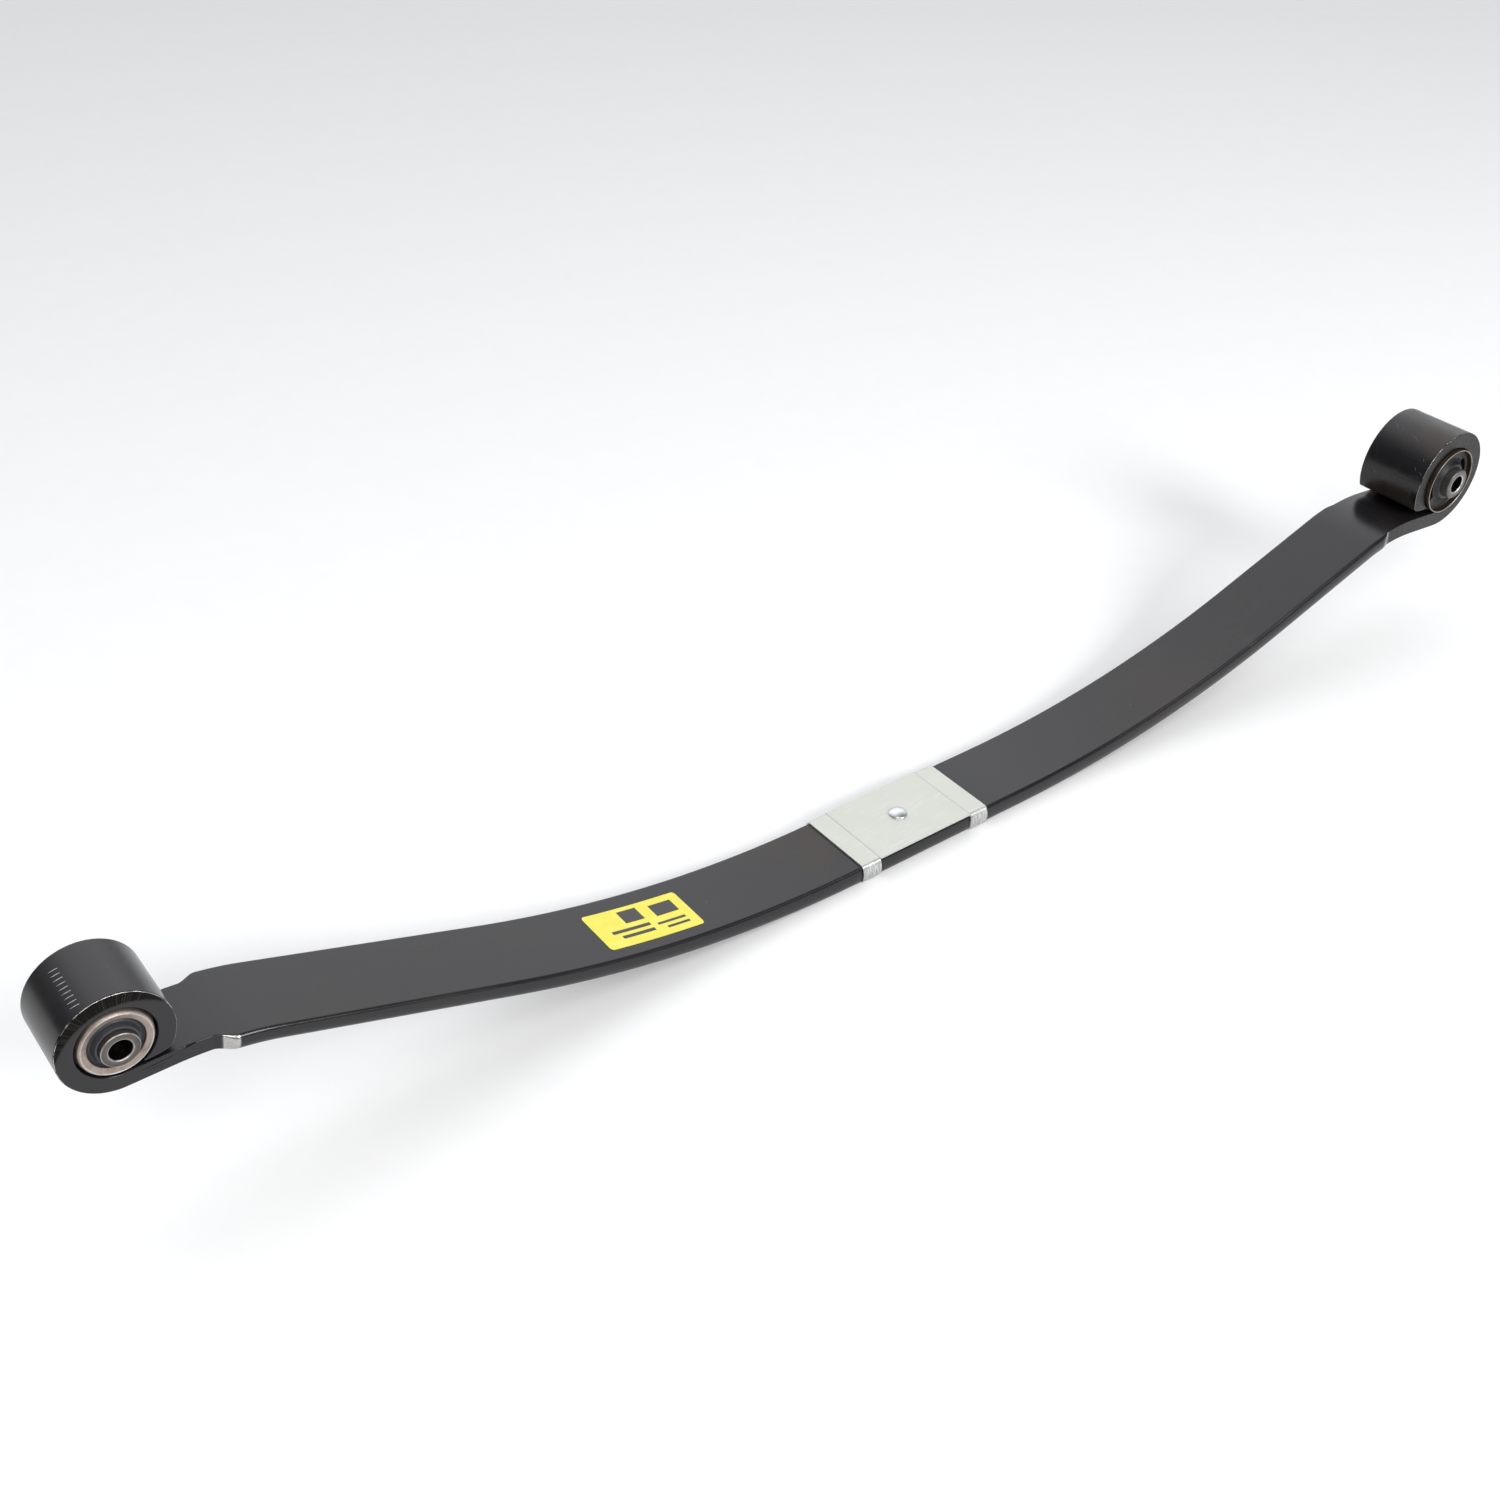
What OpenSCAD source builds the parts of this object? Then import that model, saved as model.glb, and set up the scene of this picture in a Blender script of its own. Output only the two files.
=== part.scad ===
// Single-leaf vehicle spring with a rubber-bonded bush in each eye.
// +X runs along the leaf to the front eye, +Y across it and +Z up.
// The origin is the middle of the leaf's top face at the axle seat.

/* [Leaf] */
// Width of the leaf between its shoulders
leaf_w = 72; // [60:1:80]
// Thickness of the leaf at the axle seat
seat_t = 15.7; // [14:0.1:17]

/* [Rear arm] */
// Flat length from the dowel to the start of the rear arm's bend
rear_flat = 69; // [68.8:0.1:90]
// Bend radius of the rear arm
rear_bend_r = 947; // [850:1:1100]
// Rise angle of the rear arm
rear_rise_a = 19.1; // [15:0.1:20]
// Length of the straight part of the rear arm
rear_rise = 175; // [150:1:200]
// Radius of the crest before the rear eye
rear_crest_r = 209; // [160:1:240]
// Slope of the leaf under the rear eye
rear_end_a = 0; // [-4:0.5:4]
// Length of the leaf from the crest to the rear eye
rear_tail = 29; // [25:1:40]
// Thickness of the leaf at the rear eye
rear_t = 11.5; // [10:0.1:13]
// Width of the rear eye and its neck
rear_eye_w = 56; // [50:0.5:60]
// Distance from the dowel to the rear shoulder
rear_shoulder = 574; // [560:1:585]
// Gap between the end of the rear eye's curl and the leaf
rear_gap = 2.4; // [1:0.1:4]

/* [Front arm] */
// Flat length from the dowel to the start of the front arm's bend
front_flat = 108; // [80:1:115]
// Bend radius of the front arm
front_bend_r = 1017; // [900:1:1100]
// Rise angle of the front arm
front_rise_a = 18.6; // [15:0.1:20]
// Length of the straight part of the front arm
front_rise = 119; // [100:1:130]
// Radius of the crest before the front eye
front_crest_r = 163; // [140:1:190]
// Slope of the leaf under the front eye
front_end_a = -5; // [-6:0.5:4]
// Length of the leaf from the crest to the front eye
front_tail = 39; // [35:1:50]
// Thickness of the leaf at the front eye
front_t = 15.4; // [13:0.1:16.5]
// Width of the front eye and its neck
front_eye_w = 64; // [58:0.5:68]
// Distance from the dowel to the front shoulder
front_shoulder = 564; // [555:1:575]
// Gap between the end of the front eye's curl and the leaf
front_gap = 7; // [3:0.5:9]

/* [Rear bush] */
// Bore radius of the rear eye
rear_bore_r = 25; // [23:0.1:26]
// Length of the rear outer sleeve
rear_sleeve_l = 59; // [52:0.5:60]
// Wall of the rear outer sleeve
rear_sleeve_wall = 3; // [2.5:0.1:3.5]
// Length of the rear inner sleeve
rear_inner_l = 70; // [62:0.5:74]
// Outside radius of the rear inner sleeve
rear_inner_r = 12.1; // [11.5:0.1:12.5]
// Bolt hole radius of the rear inner sleeve
rear_bolt_r = 7.1; // [6.1:0.1:8.1]

// Mouth radius of the rear outer sleeve's rolled ends
rear_mouth_r = 17.5; // [17:0.1:19.4]
// Wall of the rear rubber's collar
rear_collar_t = 2.4; // [2:0.1:2.8]
// Height of the rear rubber's collar above the rubber
rear_collar_h = 4.5; // [1:0.5:6]

/* [Front bush] */
// Bore radius of the front eye
front_bore_r = 32.5; // [31:0.1:33.5]
// Length of the front outer sleeve
front_sleeve_l = 70.6; // [66:0.2:72]
// Wall of the front outer sleeve
front_sleeve_wall = 2; // [1.5:0.1:2.5]
// Length of the front inner sleeve
front_inner_l = 84; // [78:0.2:86]
// Outside radius of the front inner sleeve
front_inner_r = 14.4; // [13.5:0.1:15]
// Bolt hole radius of the front inner sleeve
front_bolt_r = 8.1; // [7.1:0.1:9.1]

// Depth of the front rubber's web below the sleeve's edge
front_recess = 4; // [2:0.5:8]
// Inner radius of the kidney voids
void_in_r = 21; // [19.5:0.5:22]
// Outer radius of the kidney voids
void_out_r = 27; // [25:0.5:28]
// Angle that each kidney void spans
void_a = 84; // [60:1:110]

/* [Axle seat] */
// Length of the liner plate along the leaf
plate_l = 134; // [120:1:137]
// Sheet thickness of the liner plate
plate_t = 1.5; // [1:0.1:2]
// Width of the folded tabs and end bands
band_w = 18.5; // [12:0.5:20]
// Rise of the plate between its end bands
emboss = 0.3; // [0.2:0.1:0.6]
// Head radius of the centre dowel
dowel_head_r = 7.8; // [7:0.1:9]
// Height of the dowel head's straight side above the plate
dowel_shoulder = 1.2; // [1:0.1:2]
// Height of the dowel head's dome
dowel_dome = 2.6; // [2:0.1:3.5]
// Shank radius of the centre dowel
dowel_r = 6; // [5:0.1:6.5]

/* [Weight label] */
// Length of the label along the leaf
label_l = 84; // [60:1:90]
// Width of the label
label_w = 43; // [30:1:50]
// Distance from the dowel to the label's middle
label_at = 256; // [200:1:300]
// Offset of the label across the leaf
label_y = -2.5; // [-8:0.5:8]
// Thickness of the label
label_t = 0.25; // [0.2:0.05:0.4]

/* [Hidden] */
$fn = 96;

// Gap between parts that are pressed, bonded or bolted together
fit_gap = 0.05;
// Length over which each shoulder narrows
shoulder_l = 14;
// Length that passes right through any shape here
through = 400;
// Overreach of a cut past the face that it leaves, or of a shape into its neighbour
over = 1;
// Height of the label's glue layer
label_lift = 0.1;
// Chamfer on the inner sleeves' ends
chamfer = 0.5;
// Angle between points along the long bends and along the tight crests
bend_step = 1.5;
crest_step = 2.4;

// An arm is [flat, bend radius, rise angle, rise, crest radius, end angle, tail,
// end thickness, bore radius, width at the eye, shoulder position, gap at the curl].
rear = [
  rear_flat, rear_bend_r, rear_rise_a, rear_rise, rear_crest_r, rear_end_a,
  rear_tail, rear_t, rear_bore_r, rear_eye_w, rear_shoulder, rear_gap
];
front = [
  front_flat, front_bend_r, front_rise_a, front_rise, front_crest_r, front_end_a,
  front_tail, front_t, front_bore_r, front_eye_w, front_shoulder, front_gap
];

function along(a) = [cos(a), sin(a)];
function upward(a) = [-sin(a), cos(a)];

// Centre-line points of an arm, where its sections meet
function bend_start(arm) = [arm[0], -seat_t / 2];
function bend_centre(arm) = bend_start(arm) + [0, arm[1]];
function bend_end(arm) = bend_centre(arm) - arm[1] * upward(arm[2]);
function crest_start(arm) = bend_end(arm) + arm[3] * along(arm[2]);
function crest_centre(arm) = crest_start(arm) - arm[4] * upward(arm[2]);
function crest_end(arm) = crest_centre(arm) + arm[4] * upward(arm[5]);
function tail_end(arm) = crest_end(arm) + arm[6] * along(arm[5]);
function eye_mid_r(arm) = arm[8] + arm[7] / 2;
function eye_centre(arm) = tail_end(arm) + eye_mid_r(arm) * upward(arm[5]);

// The leaf tapers evenly from the start of the bend to the start of the crest
function taper(arm, x) = max(0, min(1, (x - arm[0]) / (crest_start(arm)[0] - arm[0])));
function thickness(arm, x) = seat_t + (arm[7] - seat_t) * taper(arm, x);

// Stations along the centre line, each [point, slope]
function steps(from, to, step) =
  let (count = ceil(abs(to - from) / step))
  [for (i = [0 : count]) from + (to - from) * i / count];
function stations(arm) = concat(
  [for (a = steps(0, arm[2], bend_step)) [bend_centre(arm) - arm[1] * upward(a), a]],
  [for (a = steps(arm[2], arm[5], crest_step)) [crest_centre(arm) + arm[4] * upward(a), a]],
  [[tail_end(arm), arm[5]]]
);
function face_points(arm, side) = [
  for (s = stations(arm)) s[0] + side * thickness(arm, s[0][0]) / 2 * upward(s[1])
];
function rear_eye() = [-eye_centre(rear)[0], eye_centre(rear)[1]];
function front_eye() = eye_centre(front);
function reversed(list) = [for (i = [len(list) - 1 : -1 : 0]) list[i]];
function mirrored(list) = [for (p = list) [-p[0], p[1]]];

// Turns a shape drawn in X and Z so that it stands across the leaf
module across(width) {
  rotate([90, 0, 0]) linear_extrude(width, center = true) children();
}

// Round shape about an axis that runs across the leaf
module ring_about(centre, start = 0, angle = 360) {
  translate([centre[0], 0, centre[1]]) rotate([90, 0, 0])
    rotate_extrude(angle = angle, start = start) children();
}

module leaf_outline() {
  polygon(concat(
    face_points(front, 1),
    reversed(face_points(front, -1)),
    mirrored(face_points(rear, -1)),
    reversed(mirrored(face_points(rear, 1)))
  ));
}

// Plan of one arm: full width to the shoulder, then the narrower neck
module arm_plan(arm) {
  half = leaf_w / 2 + over;
  neck = arm[9] / 2;
  polygon([
    [-over, -half], [arm[10], -half], [arm[10] + shoulder_l, -neck], [through * 2, -neck],
    [through * 2, neck], [arm[10] + shoulder_l, neck], [arm[10], half], [-over, half]
  ]);
}

// Eye rolled up from the end of the leaf, its curl cut off level with the leaf
module eye(arm) {
  centre = eye_centre(arm);
  reach = arm[8] + arm[7] + over;
  level = arm[8] - arm[11];
  inner_a = acos(level / arm[8]);
  difference() {
    ring_about(centre, arm[5] - 90, 360 - inner_a / 2)
      translate([arm[8], -arm[9] / 2]) square([arm[7], arm[9]]);
    translate([centre[0], 0, centre[1]]) rotate([0, -arm[5], 0])
      translate([-reach, -arm[9] / 2 - over, -reach]) cube([reach, arm[9] + 2 * over, reach - level]);
  }
}

module main_leaf() {
  color([0.09, 0.09, 0.1]) difference() {
    union() {
      intersection() {
        across(leaf_w) leaf_outline();
        translate([0, 0, -through / 2]) linear_extrude(through * 2) {
          arm_plan(front);
          mirror([1, 0, 0]) arm_plan(rear);
        }
      }
      eye(front);
      mirror([1, 0, 0]) eye(rear);
    }
    translate([0, 0, -seat_t - over]) cylinder(r = dowel_r + fit_gap, h = seat_t + 2 * over);
  }
}

// Zinc-plated sheet clipped over the leaf by four folded tabs
module liner_plate() {
  middle_l = plate_l - 2 * band_w;
  color([0.78, 0.8, 0.78]) difference() {
    union() {
      sheet(plate_l, plate_t);
      sheet(middle_l, plate_t + emboss);
      for (end = [-1, 1]) for (side = [-1, 1]) tab(end, side);
    }
    translate([0, 0, -over]) cylinder(r = dowel_head_r + fit_gap, h = plate_t + emboss + 2 * over);
  }
}

module sheet(length, height) {
  translate([-length / 2, -leaf_w / 2, 0]) cube([length, leaf_w, height]);
}

// One tab, folded over the leaf's edge and down to its underside
module tab(end, side) {
  inner = leaf_w / 2 + fit_gap;
  bend = [inner, 0];
  translate([end * (plate_l - band_w) / 2, 0, 0]) rotate([90, 0, side > 0 ? 90 : -90])
    linear_extrude(band_w, center = true) {
      intersection() {
        translate(bend) circle(plate_t);
        translate(bend) square(plate_t);
      }
      translate([inner, -seat_t]) square([plate_t, seat_t]);
      translate([inner - over, 0]) square([over, plate_t]);
    }
}

// Dowel pressed through the leaf, its domed head standing through the plate
module centre_dowel() {
  plate_top = plate_t + emboss;
  collar_gap = 0.2;
  dome_r = (pow(dowel_head_r, 2) + pow(dowel_dome, 2)) / (2 * dowel_dome);
  shoulder = plate_top + dowel_shoulder;
  color([0.74, 0.76, 0.78]) {
    translate([0, 0, -seat_t]) cylinder(r = dowel_r, h = seat_t + plate_t);
    cylinder(r = dowel_head_r - collar_gap, h = plate_top);
    translate([0, 0, plate_top]) cylinder(r = dowel_head_r, h = dowel_shoulder);
    intersection() {
      translate([0, 0, shoulder + dowel_dome - dome_r]) sphere(dome_r);
      translate([0, 0, shoulder]) cylinder(r = dowel_head_r, h = dome_r);
    }
  }
}

// Thin label bonded to the top of the rear arm
module weight_label() {
  corner = 3;
  color([0.95, 0.85, 0.1]) mirror([1, 0, 0]) intersection() {
    across(leaf_w) polygon(concat(
      label_points(label_lift), reversed(label_points(label_lift + label_t))
    ));
    translate([label_at, label_y, 0]) linear_extrude(through) {
      square([label_l, label_w - 2 * corner], center = true);
      square([label_l - 2 * corner, label_w], center = true);
      for (end = [-1, 1]) for (side = [-1, 1])
        translate([end * (label_l / 2 - corner), side * (label_w / 2 - corner)]) circle(corner);
    }
  }
}

// Points at a height above the rear arm's top face, all along its bend
function label_points(lift) = [
  for (s = stations(rear)) if (s[0][0] < crest_start(rear)[0])
    s[0] + (thickness(rear, s[0][0]) / 2 + lift) * upward(s[1])
];

module rear_outer_sleeve() {
  outer_r = rear_bore_r - fit_gap;
  half = rear_sleeve_l / 2;
  wall = rear_sleeve_wall;
  lip_r = wall / 2;
  color([0.6, 0.56, 0.52]) ring_about(rear_eye()) {
    translate([outer_r - wall, -half + wall]) square([wall, rear_sleeve_l - 2 * wall]);
    for (end = [-1, 1]) {
      intersection() {
        translate([outer_r - wall, end * (half - wall)]) circle(wall);
        translate([outer_r - wall, end > 0 ? half - wall : -half]) square(wall);
      }
      translate([rear_mouth_r + lip_r, end > 0 ? half - wall : -half])
        square([outer_r - wall - rear_mouth_r - lip_r, wall]);
      translate([rear_mouth_r + lip_r, end * (half - lip_r)]) circle(lip_r);
    }
  }
}

// Rubber bonded inside the rear outer sleeve, with a collar round the inner one
module rear_rubber() {
  inner_r = rear_inner_r + fit_gap;
  outer_r = rear_bore_r - fit_gap - rear_sleeve_wall;
  half = rear_sleeve_l / 2 - rear_sleeve_wall;
  groove_r = 1.5;
  color([0.07, 0.07, 0.07]) ring_about(rear_eye()) difference() {
    union() {
      translate([inner_r, -half]) square([outer_r - inner_r, 2 * half]);
      translate([inner_r, -half - rear_collar_h]) square([rear_collar_t, 2 * (half + rear_collar_h)]);
    }
    for (end = [-1, 1])
      translate([inner_r + rear_collar_t + groove_r, end * half]) circle(groove_r);
  }
}

module rear_inner_sleeve() {
  color([0.42, 0.4, 0.38]) ring_about(rear_eye())
    sleeve_section(rear_bolt_r, rear_inner_r, rear_inner_l);
}

module front_outer_sleeve() {
  outer_r = front_bore_r - fit_gap;
  color([0.55, 0.5, 0.44]) ring_about(front_eye())
    translate([outer_r - front_sleeve_wall, -front_sleeve_l / 2])
      square([front_sleeve_wall, front_sleeve_l]);
}

// Rubber bonded inside the front outer sleeve, softened by two kidney voids
module front_rubber() {
  inner_r = front_inner_r + fit_gap;
  outer_r = front_bore_r - fit_gap - front_sleeve_wall;
  hub = front_sleeve_l / 2;
  web = hub - front_recess;
  hub_t = 3;
  color([0.06, 0.06, 0.06]) difference() {
    ring_about(front_eye()) polygon([
      [inner_r, -hub], [inner_r + hub_t, -hub], [void_in_r, -web], [outer_r, -web],
      [outer_r, web], [void_in_r, web], [inner_r + hub_t, hub], [inner_r, hub]
    ]);
    for (turn = [0, 180]) ring_about(front_eye(), turn - void_a / 2, void_a)
      translate([void_in_r, -hub]) square([void_out_r - void_in_r, 2 * hub]);
  }
}

module front_inner_sleeve() {
  color([0.42, 0.4, 0.38]) ring_about(front_eye())
    sleeve_section(front_bolt_r, front_inner_r, front_inner_l);
}

// Section of a thick tube with both edges of each end chamfered
module sleeve_section(bore_r, outer_r, length) {
  half = length / 2;
  polygon([
    [bore_r, -half + chamfer], [bore_r + chamfer, -half],
    [outer_r - chamfer, -half], [outer_r, -half + chamfer],
    [outer_r, half - chamfer], [outer_r - chamfer, half],
    [bore_r + chamfer, half], [bore_r, half - chamfer]
  ]);
}

main_leaf();
liner_plate();
centre_dowel();
weight_label();
rear_outer_sleeve();
rear_rubber();
rear_inner_sleeve();
front_outer_sleeve();
front_rubber();
front_inner_sleeve();
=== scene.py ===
import math

import bmesh
import bpy
from mathutils import Matrix, Vector


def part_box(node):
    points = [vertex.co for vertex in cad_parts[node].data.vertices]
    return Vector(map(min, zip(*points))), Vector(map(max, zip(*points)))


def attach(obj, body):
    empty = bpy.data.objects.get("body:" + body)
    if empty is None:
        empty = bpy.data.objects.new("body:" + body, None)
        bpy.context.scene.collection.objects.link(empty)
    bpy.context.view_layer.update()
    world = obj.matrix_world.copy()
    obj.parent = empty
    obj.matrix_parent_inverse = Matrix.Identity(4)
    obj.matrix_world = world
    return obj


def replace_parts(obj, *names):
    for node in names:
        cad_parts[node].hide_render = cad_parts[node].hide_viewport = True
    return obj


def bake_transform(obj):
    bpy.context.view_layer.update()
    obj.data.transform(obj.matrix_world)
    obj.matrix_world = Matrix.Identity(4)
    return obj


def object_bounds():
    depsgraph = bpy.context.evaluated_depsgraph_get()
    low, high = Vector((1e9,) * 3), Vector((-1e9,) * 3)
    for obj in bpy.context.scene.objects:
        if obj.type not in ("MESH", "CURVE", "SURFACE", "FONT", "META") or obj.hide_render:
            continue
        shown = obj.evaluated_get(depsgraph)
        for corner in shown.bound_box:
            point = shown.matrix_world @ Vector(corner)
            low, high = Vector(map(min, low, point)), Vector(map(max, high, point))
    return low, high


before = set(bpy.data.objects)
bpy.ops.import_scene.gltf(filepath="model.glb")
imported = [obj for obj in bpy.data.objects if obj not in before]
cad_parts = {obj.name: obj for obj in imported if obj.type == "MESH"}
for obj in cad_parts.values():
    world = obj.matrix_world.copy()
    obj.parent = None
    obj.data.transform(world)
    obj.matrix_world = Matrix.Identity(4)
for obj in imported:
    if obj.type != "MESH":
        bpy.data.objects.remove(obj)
cad_low, cad_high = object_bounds()

MM = 0.001
SHOULDER_L = 14.0
SEAM = 60.0          # the two halves of the drawn leaf meet here, under the plate
TIP_T = 1.2          # thickness left at the end of each curl
CUT_ROUND = 9.0      # how far its corner is rounded over
# Marks that the mesh carries for the materials to read
MARKS = ("smear", "edge", "bare", "cut", "fold", "painted_shade")


def smooth(value):
    value = min(1.0, max(0.0, value))
    return value * value * (3 - 2 * value)


def bump_at(value, middle, reach):
    """A soft hump of height 1 about middle."""
    return math.exp(-((value - middle) / reach) ** 2)


def middle_of(node):
    low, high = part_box(node)
    return (low + high) / 2


SEAT_T = -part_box("main_leaf")[0].z / MM
LEAF_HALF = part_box("main_leaf")[1].y / MM
REAR_EYE = middle_of("rear_inner_sleeve")
FRONT_EYE = middle_of("front_inner_sleeve")


# ---------------------------------------------------------------- leaf path

class Arm:
    """One arm's centre line, drawn towards +X in millimetres, then turned to its side."""

    def __init__(self, side, flat, bend_r, rise_a, rise, crest_r, end_a, tail,
                 end_t, bore_r, eye_w, shoulder, gap):
        self.side = side
        self.end_t = end_t
        self.eye_half = eye_w / 2
        self.mid_r = mid_r = bore_r + end_t / 2
        # The curl's end is cut off level with the leaf, down to a blunt edge
        self.level = bore_r - gap
        open_a = math.acos(self.level / (bore_r + TIP_T))
        rise_a = math.radians(rise_a)
        crest_a = rise_a - math.radians(end_a)
        # The straight seat starts at the seam, which lies beyond the dowel on the rear arm
        self.from_x = SEAM if side < 0 else -SEAM
        self.parts = [
            (flat - self.from_x, 0.0),
            (bend_r * rise_a, 1 / bend_r),
            (rise, 0.0),
            (crest_r * crest_a, -1 / crest_r),
            (tail, 0.0),
            (mid_r * (2 * math.pi - open_a), 1 / mid_r),
        ]
        lengths = [part[0] for part in self.parts]
        self.length = sum(lengths)
        self.eye_s = sum(lengths[:5])
        self.crest_s = sum(lengths[:3])
        self.taper = (flat, self.at(self.crest_s)[0])
        self.shoulder_s = self.length_at(shoulder)

    def at(self, s):
        """Point and slope of the centre line at a length along it."""
        x, z, slope = self.from_x, -SEAT_T / 2, 0.0
        for length, curve in self.parts:
            step = min(s, length)
            if curve:
                turned = slope + curve * step
                x += (math.sin(turned) - math.sin(slope)) / curve
                z += (math.cos(slope) - math.cos(turned)) / curve
                slope = turned
            else:
                x += math.cos(slope) * step
                z += math.sin(slope) * step
            s -= step
            if s <= 0:
                break
        return x, z, slope

    def length_at(self, x):
        """Length along the centre line at a distance from the dowel."""
        low, high = 0.0, self.eye_s
        for _ in range(40):
            half = (low + high) / 2
            low, high = (half, high) if self.at(half)[0] < x else (low, half)
        return low

    def thickness(self, s):
        if s >= self.crest_s:
            return self.end_t
        start, stop = self.taper
        share = min(1.0, max(0.0, (self.at(s)[0] - start) / (stop - start)))
        return SEAT_T + (self.end_t - SEAT_T) * share

    def curl_low(self, s):
        """Lowest lift inside the steel, which the level cut raises near the curl's end."""
        low = -self.thickness(s) / 2
        from_down = 2 * math.pi - (s - self.eye_s) / self.mid_r
        if s < self.eye_s or from_down > math.pi / 2:
            return low
        cut = self.mid_r - self.level / math.cos(from_down)
        # The cut's corner is rounded over
        near = max(0.0, 1 - abs(cut - low) / CUT_ROUND)
        return max(low, cut) + near * near * CUT_ROUND / 4

    def place(self, s, lift, y):
        """A point beside the centre line, in metres in the row frame."""
        x, z, slope = self.at(s)
        x -= math.sin(slope) * lift
        z += math.cos(slope) * lift
        return Vector((self.side * x, y, z)) * MM


REAR = Arm(side=-1, flat=69, bend_r=947, rise_a=19.1, rise=175, crest_r=209, end_a=0, tail=29,
           end_t=11.5, bore_r=25, eye_w=56, shoulder=574, gap=2.4)
FRONT = Arm(side=1, flat=108, bend_r=1017, rise_a=18.6, rise=119, crest_r=163, end_a=-5, tail=39,
            end_t=15.4, bore_r=32.5, eye_w=64, shoulder=564, gap=7)

# Where each arm is smeared, as (distance from the dowel, reach, strength)
REAR.smears = [(85, 45, 0.8), (400, 60, 0.35), (520, 30, 0.35)]
FRONT.smears = [(300, 60, 0.5), (420, 60, 0.9), (540, 45, 0.9)]
# Ground steel showing at each shoulder, from and to these lengths beyond its start
REAR.ground = (-0.5, 8.5)
FRONT.ground = (8.6, 10.4)
# How worn the eye's rim is, and how deep its near face was cut back
REAR.rim_wear, FRONT.rim_wear = 1.0, 0.6
REAR.cut_back, FRONT.cut_back = 0.4, 0.0
# How smeared each eye's barrel is, and how much painted shade darkens the near side of each neck and eye
REAR.eye_smear, FRONT.eye_smear = 0.1, 0.8
REAR.dark_side, FRONT.dark_side = 0.0, 0.85


# ---------------------------------------------------------------- materials

class Nodes:
    """Short calls for building one material's node tree."""

    def __init__(self, name):
        self.material = bpy.data.materials.new(name)
        self.material.use_nodes = True
        self.tree = self.material.node_tree
        self.shader = self.tree.nodes["Principled BSDF"]

    def feed(self, socket, value):
        if isinstance(value, bpy.types.NodeSocket):
            self.tree.links.new(value, socket)
        elif isinstance(value, tuple) and socket.type == "RGBA":
            socket.default_value = (*value, 1.0)
        else:
            socket.default_value = value

    def add(self, kind, inputs, output=0, **settings):
        node = self.tree.nodes.new(kind)
        for key, value in settings.items():
            setattr(node, key, value)
        for key, value in inputs.items():
            self.feed(node.inputs[key], value)
        return node.outputs[output]

    def math(self, operation, a, b=0.0):
        return self.add("ShaderNodeMath", {0: a, 1: b}, operation=operation)

    def both(self, a, b):
        return self.add("ShaderNodeMath", {0: a, 1: b}, operation="MULTIPLY", use_clamp=True)

    def mark(self, name):
        return self.add("ShaderNodeAttribute", {}, "Fac", attribute_name=name)

    def rest(self):
        return self.add("ShaderNodeAttribute", {}, "Vector", attribute_name="rest")

    def uv(self):
        return self.add("ShaderNodeAttribute", {}, "Vector", attribute_name="UVMap")

    def stretched(self, vector, scale):
        return self.add("ShaderNodeMapping", {"Vector": vector, "Scale": scale})

    def noise(self, vector, scale, detail=3.0, roughness=0.55, distortion=0.0):
        return self.add("ShaderNodeTexNoise", {
            "Vector": vector, "Scale": scale, "Detail": detail,
            "Roughness": roughness, "Distortion": distortion}, "Fac")

    def ramp(self, value, low, high, to_low=0.0, to_high=1.0):
        return self.add("ShaderNodeMapRange", {
            "Value": value, "From Min": low, "From Max": high,
            "To Min": to_low, "To Max": to_high}, interpolation_type="SMOOTHSTEP")

    def mix(self, share, a, b):
        return self.add("ShaderNodeMix", {0: share, 6: a, 7: b}, 2, data_type="RGBA")

    def bump(self, height, strength, distance, below=None):
        inputs = {"Height": height, "Strength": strength, "Distance": distance}
        if below is not None:
            inputs["Normal"] = below
        return self.add("ShaderNodeBump", inputs)

    def finish(self, **inputs):
        for key, value in inputs.items():
            self.feed(self.shader.inputs[key.replace("_", " ")], value)
        return self.material


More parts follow.
